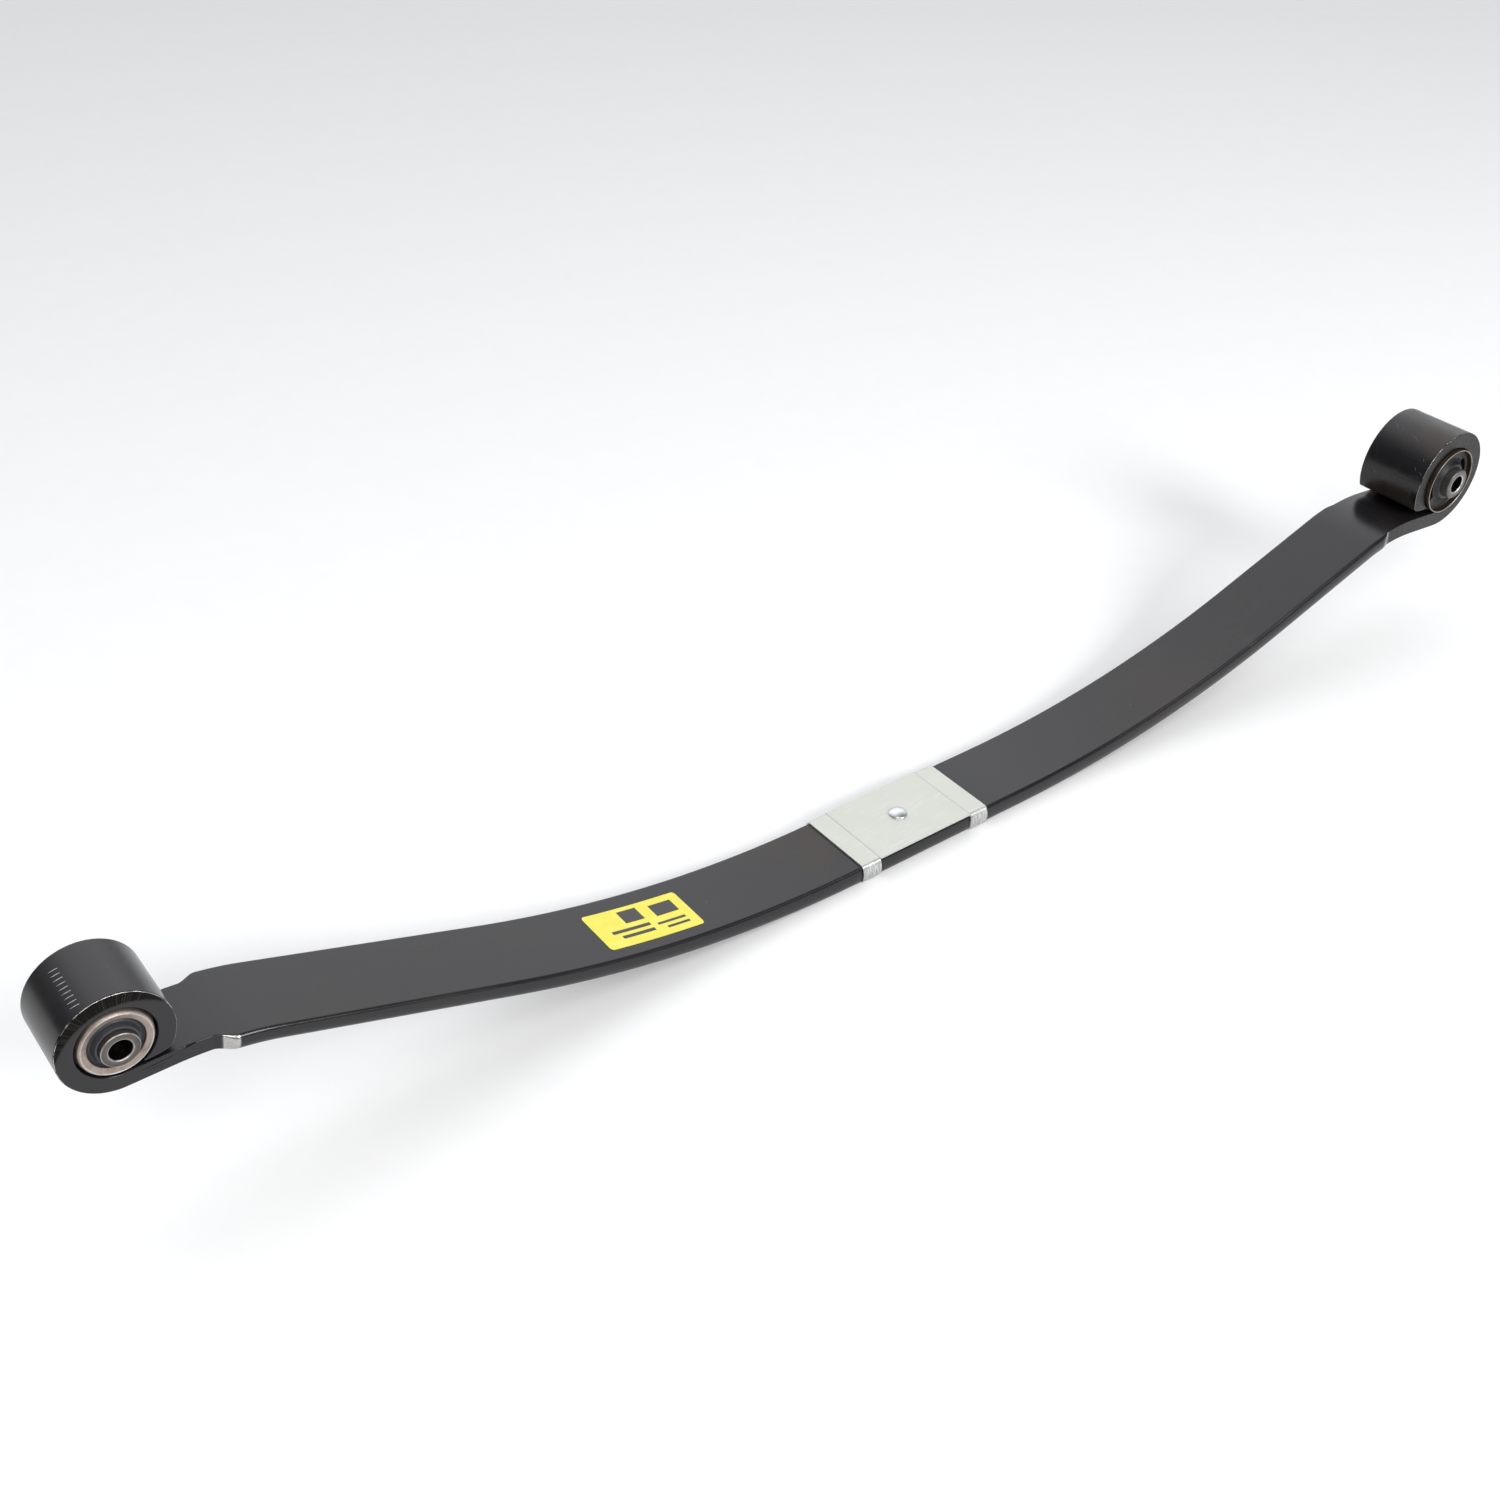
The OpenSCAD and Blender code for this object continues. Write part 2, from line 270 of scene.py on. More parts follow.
def leaf_paint():
    """Satin black paint with a cool sheen, brown smears, dust, worn edges, and painted shade on the near
    side of the front neck and eye.
    """
    n = Nodes("black_leaf_paint")
    rest = n.rest()
    clouds = n.noise(rest, 11.0, 5.0, 0.62, 0.7)
    wipes = n.noise(n.stretched(rest, (5.0, 55.0, 20.0)), 1.0)
    smear = n.both(n.ramp(clouds, 0.46, 0.60), n.mark("smear"))
    cells = n.add("ShaderNodeTexVoronoi", {"Vector": rest, "Scale": 60.0}, "Distance")
    dust = n.both(n.ramp(cells, 0.035, 0.02), n.ramp(clouds, 0.45, 0.6))
    wear = n.both(n.mark("edge"), n.ramp(n.noise(rest, 120.0, 4.0, 0.7), 0.36, 0.52))
    # The cut mark holds the ground crescent and also the painted shade on the near side of the front neck
    # and eye
    cut = n.mark("cut")
    tool_lines = n.noise(n.stretched(n.uv(), (1500.0, 12.0, 1.0)), 1.0, 2.0, 0.7)
    metal = n.math("MAXIMUM", wear, n.mark("bare"))
    color = n.mix(wipes, (0.0065, 0.0063, 0.0078), (0.0105, 0.0100, 0.0120))
    color = n.mix(smear, color, (0.024, 0.0165, 0.0115))
    color = n.mix(cut, color, n.mix(n.ramp(tool_lines, 0.50, 0.66), (0.006, 0.0055, 0.005),
                                    (0.040, 0.037, 0.034)))
    color = n.mix(n.both(dust, 0.6), color, (0.20, 0.19, 0.18))
    streaks = n.noise(n.stretched(rest, (1900.0, 150.0, 500.0)), 1.0, 2.0)
    color = n.mix(metal, color, n.mix(streaks, (0.26, 0.25, 0.24), (0.66, 0.65, 0.64)))
    # The dark ground crescent and the painted near-side shade reflect almost nothing, as a metal with a
    # near-black colour
    dull = n.math("MAXIMUM", n.both(metal, 0.85), n.both(cut, 0.95))
    rough = n.ramp(wipes, 0.3, 0.7, 0.20, 0.26)
    rough = n.math("ADD", rough, n.both(smear, 0.16))
    normal = n.bump(n.noise(rest, 420.0, 3.0), 0.10, 0.0002)
    normal = n.bump(n.both(cut, tool_lines), 0.6, 0.0004, normal)
    return n.finish(Base_Color=color, Roughness=rough, Normal=normal,
                    Metallic=dull, Specular_IOR_Level=0.42)


def turned_steel(name, dark, light, stain, low, high, rim=(0.80, 0.79, 0.77)):
    """Bare steel with turning marks, stains, bright rims of rubbed wear and painted highlight, and a bore
    darkened with painted shade.
    """
    n = Nodes(name)
    rest = n.rest()
    tone = n.noise(n.stretched(rest, (75.0, 300.0, 75.0)), 1.0, 4.0, 0.6)
    patch = n.ramp(n.noise(rest, 120.0, 4.0, 0.65), 0.46, 0.68)
    lines = n.noise(n.stretched(n.uv(), (4.0, 4200.0, 1.0)), 1.0, 2.0)
    edge = n.both(n.mark("edge"), n.ramp(n.noise(rest, 260.0, 2.0), 0.28, 0.5, 0.45, 1.0))
    color = n.mix(n.both(patch, 0.7), n.mix(tone, dark, light), stain)
    # Rims take the pale rim colour: rubbed wear with a painted highlight along them
    color = n.mix(edge, color, rim)
    # The bore is darkened with painted shade
    color = n.mix(n.mark("painted_shade"), color, (0.012, 0.010, 0.009))
    rough = n.math("ADD", n.ramp(tone, 0.3, 0.7, low, high), n.both(patch, 0.10))
    rough = n.math("SUBTRACT", rough, n.both(edge, 0.15))
    return n.finish(Base_Color=color, Roughness=rough, Metallic=n.ramp(patch, 0.0, 1.0, 0.85, 0.6),
                    Normal=n.bump(lines, 0.30, 0.0002))


def moulded_rubber(name, color, bloom):
    """Moulded rubber with a fine skin and a pale bloom in patches."""
    n = Nodes(name)
    rest = n.rest()
    patch = n.ramp(n.noise(rest, 85.0, 4.0, 0.6), 0.42, 0.72)
    skin = n.noise(rest, 1300.0, 3.0)
    edge = n.mark("edge")
    shade = n.mix(n.both(patch, 0.6), color, bloom)
    shade = n.mix(n.both(edge, 0.5), shade, bloom)
    return n.finish(Base_Color=shade, Roughness=n.ramp(patch, 0.0, 1.0, 0.44, 0.62),
                    Normal=n.bump(skin, 0.25, 0.0002), Specular_IOR_Level=0.42)


def zinc(name, dark, light, metallic=0.45, smooth_rough=0.42, dull_rough=0.54):
    """Pale zinc coating: dull film, rubbed streaks, and ribs where it is folded."""
    n = Nodes(name)
    rest = n.rest()
    film = n.noise(rest, 38.0, 5.0, 0.6, 0.5)
    rub = n.noise(n.stretched(rest, (70.0, 700.0, 250.0)), 1.0)
    ribs = n.noise(n.stretched(rest, (1250.0, 60.0, 130.0)), 1.0, 3.0, 0.7)
    fold = n.mark("fold")
    crinkle = n.both(fold, n.ramp(ribs, 0.42, 0.6))
    color = n.mix(film, dark, light)
    color = n.mix(n.both(n.ramp(rub, 0.5, 0.75), 0.2), color, (0.80, 0.81, 0.79))
    color = n.mix(n.both(fold, 0.75), color, (0.33, 0.34, 0.34))
    color = n.mix(n.both(crinkle, 0.55), color, (0.85, 0.85, 0.85))
    # Painted shade darkens the crease at the panel's edge
    color = n.mix(n.both(n.mark("painted_shade"), 0.6), color, (0.22, 0.23, 0.22))
    rough = n.math("SUBTRACT", n.ramp(film, 0.35, 0.65, smooth_rough, dull_rough), n.both(fold, 0.12))
    height = n.math("ADD", n.both(rub, 0.25), n.both(fold, ribs))
    return n.finish(Base_Color=color, Roughness=rough, Normal=n.bump(height, 0.5, 0.0004),
                    Metallic=n.ramp(fold, 0.0, 1.0, metallic, 0.8))


def printed_film(name, color, worn):
    """Thin printed plastic with a faint texture and a few rubbed places."""
    n = Nodes(name)
    rest = n.rest()
    rubbed = n.noise(rest, 70.0, 5.0, 0.6)
    return n.finish(Base_Color=n.mix(n.ramp(rubbed, 0.35, 0.7), color, worn),
                    Roughness=n.ramp(rubbed, 0.3, 0.7, 0.38, 0.50),
                    Normal=n.bump(n.noise(rest, 1500.0, 2.0), 0.12, 0.0001))


def floor_paper():
    n = Nodes("pale_floor")
    rest = n.rest()
    grain = n.noise(rest, 40.0, 4.0)
    return n.finish(Base_Color=n.mix(grain, (0.90, 0.90, 0.90), (0.93, 0.93, 0.93)),
                    Roughness=n.ramp(grain, 0.0, 1.0, 0.85, 0.95),
                    Normal=n.bump(grain, 0.05, 0.0005), Specular_IOR_Level=0.1)


PAINT = leaf_paint()
BEAD_STEEL = turned_steel("rear_sleeve_steel", (0.25, 0.205, 0.178), (0.42, 0.355, 0.31),
                          (0.17, 0.135, 0.115), 0.40, 0.52)
BOLT_STEEL = turned_steel("inner_sleeve_steel", (0.072, 0.062, 0.058), (0.145, 0.125, 0.115),
                          (0.055, 0.036, 0.030), 0.38, 0.50)
THIN_STEEL = turned_steel("front_sleeve_steel", (0.060, 0.048, 0.040), (0.13, 0.105, 0.085),
                          (0.040, 0.029, 0.023), 0.38, 0.50, (0.52, 0.43, 0.34))
HUB_STEEL = turned_steel("front_inner_sleeve_steel", (0.10, 0.098, 0.095), (0.17, 0.166, 0.16),
                         (0.075, 0.063, 0.056), 0.36, 0.48)
REAR_RUBBER = moulded_rubber("rear_bush_rubber", (0.034, 0.036, 0.043), (0.040, 0.033, 0.029))
FRONT_RUBBER = moulded_rubber("front_bush_rubber", (0.0060, 0.0057, 0.0058), (0.017, 0.0145, 0.013))
PLATE_ZINC = zinc("zinc_sheet", (0.505, 0.515, 0.475), (0.615, 0.620, 0.575))
DOWEL_ZINC = zinc("zinc_dowel", (0.56, 0.60, 0.60), (0.72, 0.75, 0.75),
                  0.9, 0.20, 0.32)
LABEL_YELLOW = printed_film("label_yellow", (0.74, 0.67, 0.065), (0.80, 0.73, 0.11))
LABEL_DARK = printed_film("label_print", (0.030, 0.028, 0.027), (0.045, 0.042, 0.040))
SCRATCH_BRIGHT = turned_steel("scratch_bright", (0.50, 0.50, 0.52), (0.72, 0.72, 0.74),
                              (0.30, 0.29, 0.29), 0.35, 0.5)
SCRATCH_GREY = turned_steel("scratch_grey", (0.10, 0.10, 0.10), (0.22, 0.22, 0.22),
                            (0.05, 0.05, 0.05), 0.4, 0.55)
# Near-black strokes: the dark lines on the front barrel, and painted shade for the neck's slits and nick
DARK_LINE_AND_SLIT_SHADE = turned_steel("dark_line_and_slit_shade", (0.003, 0.003, 0.003), (0.010, 0.0095, 0.009),
                            (0.003, 0.003, 0.003), 0.5, 0.6)


# ---------------------------------------------------------------- mesh tools

def remember_rest(mesh):
    """Textures read where each vertex rests, so that they don't slide in a pose."""
    rest = mesh.attributes.get("rest") or mesh.attributes.new("rest", "FLOAT_VECTOR", "POINT")
    rest.data.foreach_set("vector", [c for vertex in mesh.vertices for c in vertex.co])


def make_piece(name, vertices, faces, materials, uvs=None, marks=None, faces_material=None):
    mesh = bpy.data.meshes.new(name)
    mesh.from_pydata(vertices, [], faces)
    if uvs:
        mesh.uv_layers.new(name="UVMap").data.foreach_set("uv", [c for pair in uvs for c in pair])
    for key in MARKS:
        values = (marks or {}).get(key)
        if values:
            mesh.attributes.new(key, "FLOAT", "POINT").data.foreach_set("value", values)
    for material in materials:
        mesh.materials.append(material)
    if faces_material:
        mesh.polygons.foreach_set("material_index", faces_material)
    work = bmesh.new()
    work.from_mesh(mesh)
    bmesh.ops.remove_doubles(work, verts=work.verts, dist=1e-7)
    bmesh.ops.delete(work, geom=[e for e in work.edges if not e.link_faces], context="EDGES")
    bmesh.ops.recalc_face_normals(work, faces=work.faces)
    work.to_mesh(mesh)
    work.free()
    mesh.shade_smooth()
    remember_rest(mesh)
    piece = bpy.data.objects.new(name, mesh)
    bpy.context.scene.collection.objects.link(piece)
    return piece


def apply_modifiers(piece):
    """Replaces the mesh by what its modifiers make of it."""
    bpy.context.view_layer.update()
    graph = bpy.context.evaluated_depsgraph_get()
    mesh = bpy.data.meshes.new_from_object(piece.evaluated_get(graph), depsgraph=graph)
    piece.modifiers.clear()
    piece.data = mesh
    remember_rest(mesh)


def sharpen(piece, degrees):
    """Smooth shading that breaks at edges sharper than this."""
    piece.data.set_sharp_from_angle(angle=math.radians(degrees))


def cut_away(piece, drill):
    hole = piece.modifiers.new("hole", "BOOLEAN")
    hole.operation = "DIFFERENCE"
    hole.solver = "EXACT"
    hole.object = drill
    apply_modifiers(piece)
    bpy.data.objects.remove(drill)


def loft(name, rings, joined, material, lengths, marks=None):
    """Skin over closed rings of points; joined links the last ring to the first."""
    count, per = len(rings), len(rings[0])
    girth = [0.0]
    for j in range(per):
        girth.append(girth[-1] + (rings[0][(j + 1) % per] - rings[0][j]).length)
    faces, uvs = [], []
    for i in range(count if joined else count - 1):
        for j in range(per):
            k, after = (j + 1) % per, (i + 1) % count
            faces.append((i * per + j, i * per + k, after * per + k, after * per + j))
            near, far = lengths[i], lengths[i + 1]
            uvs += [(near, girth[j]), (near, girth[j + 1]), (far, girth[j + 1]), (far, girth[j])]
    if not joined:
        faces.append(tuple(range(per)))
        faces.append(tuple((count - 1) * per + j for j in range(per)))
        uvs += [(0.0, 0.0)] * (2 * per)
    vertices = [point for ring in rings for point in ring]
    return make_piece(name, vertices, faces, [material], uvs, marks)


def rounded(corners, steps=5):
    """Outline with each corner (across, along, radius) turned into an arc."""
    points = []
    for i, (x, y, radius) in enumerate(corners):
        here = Vector((x, y))
        back = (Vector(corners[i - 1][:2]) - here).normalized()
        ahead = (Vector(corners[(i + 1) % len(corners)][:2]) - here).normalized()
        half = back.angle(ahead) / 2
        if radius <= 0:
            points.append(here)
            continue
        middle = here + (back + ahead).normalized() * (radius / math.sin(half))
        reach = radius / math.tan(half)
        first = here + back * reach - middle
        last = here + ahead * reach - middle
        turn = math.atan2(first.x * last.y - first.y * last.x, first.dot(last))
        for k in range(steps + 1):
            points.append(middle + Matrix.Rotation(turn * k / steps, 2) @ first)
    return points


def with_margins(outline, margin=0.5):
    """Adds a point near each end of every long face, so that bright rims stay narrow."""
    points = []
    for i, here in enumerate(outline):
        following = outline[(i + 1) % len(outline)]
        step = following - here
        points.append(here)
        if step.length > 3 * margin:
            points.append(here + step.normalized() * margin)
            points.append(following - step.normalized() * margin)
    return points


def lathe(name, middle, corners, material, bright=(), upright=False, turns=144, steps=5, bore=0):
    """Ring about a line across the leaf, or an upright one, from (radius, along, corner radius).

    bright lists (radius, along, reach) of rims painted bright, as rubbed wear and, on steel, as painted
    highlight, and bore is the radius inside which the ring is darkened with painted shade.
    """
    outline = with_margins(rounded(corners, steps))
    rings, edge, painted_shade = [], [], []
    for i in range(turns):
        a = 2 * math.pi * i / turns
        for p in outline:
            rubbed = [bump_at(math.hypot(p.x - r, abs(p.y) - y), 0, reach) for r, y, reach in bright]
            edge.append(max(rubbed, default=0.0))
            # Inside the bore the ring gets painted shade
            painted_shade.append(1.0 if p.x < bore else 0.0)
        turned = [Vector((p.x * math.cos(a), p.y, p.x * math.sin(a))) for p in outline]
        if upright:
            turned = [Vector((t.x, t.z, t.y)) for t in turned]
        rings.append([middle + t * MM for t in turned])
    around = [i / turns for i in range(turns + 1)]
    return loft(name, rings, True, material, around, {"edge": edge, "painted_shade": painted_shade})


# ---------------------------------------------------------------- leaf

ARC_STEPS, FLANK_STEPS = 6, 12
FACE_SHARES = [0.98, 0.9, 0.7, 0.5, 0.3, 0.1, -0.1, -0.3, -0.5, -0.7, -0.9, -0.98]
SIDE_STEPS = 2 * ARC_STEPS + FLANK_STEPS
ROLL = 3.2           # depth of the rolled side of the leaf
CORNER = 0.8         # radius of the squarer corners beside the eyes


def squared_side(step, thick):
    """(up, in from the side) on the squarer side beside an eye."""
    radius = min(CORNER, 0.45 * thick)
    if step <= ARC_STEPS:
        a = math.pi / 2 * (1 - step / ARC_STEPS)
        return thick / 2 - radius + radius * math.sin(a), radius * (1 - math.cos(a))
    if step >= ARC_STEPS + FLANK_STEPS:
        up, depth = squared_side(SIDE_STEPS - step, thick)
        return -up, depth
    share = (step - ARC_STEPS) / FLANK_STEPS
    return (thick / 2 - radius) * (1 - 2 * share), 0.0


def rolled_side(step, thick):
    a = math.pi * (0.5 - step / SIDE_STEPS)
    return thick / 2 * math.sin(a), ROLL * (1 - math.cos(a))


def leaf_section(thick, half, trim):
    """Points (up, across, side, step) round the leaf; side is 0 on the top and bottom."""
    points = []
    for side in (1, -1):
        for i in range(SIDE_STEPS + 1):
            step = i if side > 0 else SIDE_STEPS - i
            rolled, squared = rolled_side(step, thick), squared_side(step, thick)
            up = rolled[0] + (squared[0] - rolled[0]) * trim
            depth = rolled[1] + (squared[1] - rolled[1]) * trim
            points.append((up, side * (half - depth), side, step))
        flat = half - (ROLL + (CORNER - ROLL) * trim)
        for share in FACE_SHARES:
            points.append((-side * thick / 2, side * flat * share, 0, 0))
    return points


def ring_lengths(arm):
    """Lengths along the arm where the leaf gets a ring, closer where its shape changes."""
    lengths, s = [0.0], 0.0
    while s < arm.length - 1e-6:
        if arm.curl_low(s) > -arm.end_t / 2 or arm.curl_low(s + 1.6) > -arm.end_t / 2:
            step = 0.5
        elif s > arm.eye_s - 3:
            step = 1.5
        elif abs(s - arm.shoulder_s - SHOULDER_L / 2) < 10:
            step = 0.7
        elif s > arm.crest_s:
            step = 4.0
        else:
            step = 9.0
        s = min(s + step, arm.length)
        lengths.append(s)
    return lengths


def cut_depth(arm, s, up, side):
    """0 to 1 inside the crescent that was ground on the near face of the rear eye."""
    if side >= 0 or not arm.cut_back:
        return 0.0
    # Degrees round the eye from straight under it
    around = math.degrees((s - arm.eye_s) / arm.mid_r)
    share = (around - 95) / 150
    if not 0 < share < 1:
        return 0.0
    width = 9.0 * math.sin(math.pi * share) ** 0.7
    return smooth((width - (up + arm.end_t / 2)) / 0.8 + 0.5)


def leaf_half(name, arm, drill=None):
    """The leaf from its seam under the liner plate to the end of the eye's curl."""
    lengths = ring_lengths(arm)
    rings, marks = [], {key: [] for key in ("smear", "edge", "bare", "cut")}
    for s in lengths:
        trim = smooth((s - arm.shoulder_s) / SHOULDER_L)
        half = LEAF_HALF + (arm.eye_half - LEAF_HALF) * trim
        low = arm.curl_low(s)
        high = arm.thickness(s) / 2
        in_eye = smooth((s - arm.eye_s - 25) / 20)
        ground_from, ground_to = (arm.shoulder_s + along for along in arm.ground)
        ground = smooth((s - ground_from) / 0.8 + 0.5) * smooth((ground_to - s) / 0.8 + 0.5)
        x = arm.at(s)[0]
        smear = sum(strength * bump_at(x, at, reach) for at, reach, strength in arm.smears)
        if s > arm.eye_s:
            smear = arm.eye_smear
        on_cut = 1.0 if low > -arm.thickness(s) / 2 + 0.3 else 0.0
        ring = []
        for up, across, side, step in leaf_section(high - low, half, trim):
            up += (high + low) / 2
            cut = cut_depth(arm, s, up, side)
            rim = 1.0 if side and step in (SIDE_STEPS - 4, SIDE_STEPS - 3) else 0.0
            flank = 1.0 if side and 2 < step < SIDE_STEPS - 2 else 0.0
            marks["smear"].append(smear * (1 - 0.6 * flank))
            marks["edge"].append(max(in_eye * arm.rim_wear * rim * (1 - on_cut), 0.5 * on_cut * rim))
            marks["bare"].append(ground * flank * (0.9 if side < 0 else 0.5))
            # Painted shade: the near flank beyond the shoulder is darkened through the cut mark
            dark = arm.dark_side * trim * flank if side < 0 else 0.0
            marks["cut"].append(max(cut, dark) if side else 0.0)
            ring.append(arm.place(s, up, across + arm.cut_back * cut))
        rings.append(ring)
    piece = loft(name, rings, False, PAINT, [s * MM for s in lengths], marks)
    if drill:
        cut_away(piece, drill)
    sharpen(piece, 50)
    bend_with_eye(piece)
    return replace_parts(piece, "main_leaf")


def bend_with_eye(piece):
    """Bakes the piece's placement into its mesh."""
    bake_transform(piece)


def stroke(name, path, outward, width, height, material):
    """Fine raised line along points, tapering at both ends."""
    rings, last = [], len(path) - 1
    for i, point in enumerate(path):
        ahead = (path[min(i + 1, last)] - path[max(i - 1, 0)]).normalized()
        out = outward[i]
        aside = ahead.cross(out).normalized()
        share = max(0.12, math.sin(math.pi * min(1, max(0, i / last))) ** 0.4)
        w, h = width / 2 * share * MM, height * share * MM
        sunk = point - out * 0.15 * MM
        rings.append([sunk + aside * w, point + aside * w * 0.6 + out * h,
                      point - aside * w * 0.6 + out * h, sunk - aside * w])
    return loft(name, rings, False, material, [i * MM for i in range(len(path))])


def barrel_stroke(name, arm, start, stop, width, height, material, eye_body):
    """A stroke on an eye's outside between two (degrees round the eye, across) points."""
    path, outward = [], []
    for i in range(9):
        share = i / 8
        degrees = start[0] + (stop[0] - start[0]) * share
        across = start[1] + (stop[1] - start[1]) * share
        s = arm.eye_s + arm.mid_r * math.radians(degrees)
        surface = arm.place(s, -arm.end_t / 2, across)
        path.append(surface)
        outward.append((surface - arm.place(s, 0, across)).normalized())
    piece = stroke(name, path, outward, width, height, material)
    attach(piece, eye_body)
    return piece


def flank_stroke(name, arm, start, stop, width, material):
    """A stroke on the near side of a neck between two (length from the eye, up) points."""
    path = []
    for i in range(9):
        share = i / 8
        s = arm.eye_s + start[0] + (stop[0] - start[0]) * share
        path.append(arm.place(s, start[1] + (stop[1] - start[1]) * share, -arm.eye_half))
    piece = stroke(name, path, [Vector((0, -1, 0))] * len(path), width, 0.05, material)
    bend_with_eye(piece)
    return piece


def dowel_drill():
    """Drill for the hole that the dowel stands in."""
    deep = SEAT_T + 5
    corners = [(0, -deep, 0), (6.05, -deep, 0), (6.05, 5, 0), (0, 5, 0)]
    return lathe("dowel_drill", Vector((0, 0, 0)), corners, PAINT, upright=True, turns=48)


leaf_half("leaf_rear_arm", REAR)
leaf_half("leaf_front_arm", FRONT, dowel_drill())

# A row of plain punched ticks on the rear barrel
for tick in range(9):
    across = 15.5 - 4.5 * tick
    barrel_stroke(f"barrel_tick_{tick}", REAR, (160, across - 0.8), (150, across + 0.8),
                  0.8, 0.05, SCRATCH_BRIGHT, "rear_eye")

# Two dark slits in the near side of the rear neck, and the nick at its shoulder,
# all as fine dark strokes: painted shade that stands in for their depth
flank_stroke("neck_slit_long", REAR, (-8, 1.8), (-32, 2.6), 0.9, DARK_LINE_AND_SLIT_SHADE)
flank_stroke("shoulder_nick", REAR, (-36, 4.4), (-44, 5.6), 1.8, DARK_LINE_AND_SLIT_SHADE)
flank_stroke("neck_slit_short", REAR, (-13, -0.6), (-25, -0.2), 0.6, DARK_LINE_AND_SLIT_SHADE)

# Rubbed places on the front barrel, as (degrees round the eye, across, length)
SCUFFS = [(211, 24, 5), (216, 3, 8), (219, -4, 4), (248, -19, 3), (251, -25, 5), (236, -22, 3),
          (270, 19, 3)]

# Two dark lines along the front barrel and the rubbed places
barrel_stroke("barrel_line_upper", FRONT, (243, 20), (242, -31), 0.6, 0.03, DARK_LINE_AND_SLIT_SHADE, "front_eye")
barrel_stroke("barrel_line_lower", FRONT, (266, 2), (265, -31), 0.5, 0.03, DARK_LINE_AND_SLIT_SHADE, "front_eye")
for scuff, (around, across, along) in enumerate(SCUFFS):
    barrel_stroke(f"barrel_scuff_{scuff}", FRONT, (around, across), (around + 4, across - along),
                  0.5, 0.03, SCRATCH_GREY, "front_eye")


# ---------------------------------------------------------------- axle seat

PLATE_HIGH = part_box("liner_plate")[1]
PLATE_HALF = PLATE_HIGH.x / MM
PLATE_TOP = PLATE_HIGH.z / MM
SHEET_T = 1.45
BAND_TOP = 1.5       # height of the end bands above the leaf
BAND_W = 18.5        # width of the end bands and their tabs
PANEL_HALF = 35.2    # half the width of the panel between the tabs
FOLD_STEPS, BAND_STEPS, PANEL_STEPS = 18, 37, 14


def plate_columns():
    """Places along the plate, close together over the folded tabs."""
    inner = PLATE_HALF - BAND_W
    panel = inner - 1
    half = [panel * i / PANEL_STEPS for i in range(1, PANEL_STEPS + 1)] + [inner - 0.5]
    half += [inner + BAND_W * i / BAND_STEPS for i in range(BAND_STEPS + 1)]
    return [-x for x in reversed(half)] + [0.0] + half


def fold_point(i, side, x):
    """A point on a tab's outer face as it wraps the leaf's rolled side."""
    a = math.pi / 2 - math.radians(146) * i / FOLD_STEPS
    wave = 0.10 * math.sin(2.9 * x + side) + 0.08 * math.sin(6.1 * x + 0.7 * i)
    wave *= smooth(i / 6)
    reach = ROLL + SHEET_T + wave * 0.6
    deep = SEAT_T / 2 + SHEET_T * (1 if a > 0 else 0.0)
    ragged = 0.35 * math.sin(1.7 * x + 2 * side) * smooth((i - 12) / 6)
    y = LEAF_HALF - ROLL + reach * math.cos(a)
    z = -SEAT_T / 2 + (deep + (BAND_TOP - SHEET_T) * smooth(a)) * math.sin(a) + ragged
    return Vector((x, side * y, z)) * MM


def plate_points(columns, rows):
    """Points by (column, place), each with how folded it is and how much painted shade its crease gets.
    """
    inner = PLATE_HALF - BAND_W
    points = {}
    for c, x in enumerate(columns):
        panel = smooth((inner - abs(x)) / 0.9)
        z = BAND_TOP + (PLATE_TOP - BAND_TOP) * panel
        # The crease at the panel's edge gets painted shade
        line = bump_at(abs(x), inner - 0.1, 0.35)
        for r, y in enumerate(rows):
            points[(c, r)] = (Vector((x, y, z)) * MM, 0.0, line)
        for side in (-1, 1):
            points[(c, side, 0)] = (Vector((x, side * PANEL_HALF, z)) * MM, 0.0, line)
            if abs(x) >= inner - 1e-6:
                for i in range(1, FOLD_STEPS + 1):
                    points[(c, side, "fold", i)] = (fold_point(i, side, x), smooth(i / 5), 0.0)
    return points


def plate_strips(in_band, last_row):
    """Places side by side across the plate: its flat, then each tab or plain edge."""
    strips = [[(r,) for r in range(last_row + 1)]]
    for side, edge in ((-1, 0), (1, last_row)):
        if in_band:
            strips.append([(edge,)] + [(side, "fold", i) for i in range(1, FOLD_STEPS + 1)])
        else:
            strips.append([(edge,), (side, 0)])
    return strips


def liner_plate():
    """Zinc sheet over the seat, with four tabs folded down the leaf's sides."""
    columns = plate_columns()
    flat = LEAF_HALF - ROLL
    rows = [flat * (j / 8 - 1) for j in range(17)]
    points = plate_points(columns, rows)
    corners = []
    for c in range(len(columns) - 1):
        in_band = abs(columns[c] + columns[c + 1]) / 2 > PLATE_HALF - BAND_W
        for strip in plate_strips(in_band, len(rows) - 1):
            for a, b in zip(strip, strip[1:]):
                corners.append(((c, *a), (c + 1, *a), (c + 1, *b), (c, *b)))
    wanted = {key for face in corners for key in face}
    used = [key for key in points if key in wanted]
    place = {key: i for i, key in enumerate(used)}
    faces = [tuple(place[key] for key in face) for face in corners]
    marks = {"fold": [points[key][1] for key in used], "painted_shade": [points[key][2] for key in used]}
    piece = make_piece("seat_liner", [points[key][0] for key in used], faces, [PLATE_ZINC], marks=marks)
    widest = max(piece.data.polygons, key=lambda face: abs(face.normal.z) * face.area)
    if widest.normal.z < 0:
        piece.data.flip_normals()
    sheet = piece.modifiers.new("sheet", "SOLIDIFY")
    sheet.thickness = SHEET_T * MM
    sheet.offset = -1
    apply_modifiers(piece)
    sharpen(piece, 40)
    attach(piece, "leaf")
    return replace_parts(piece, "liner_plate")


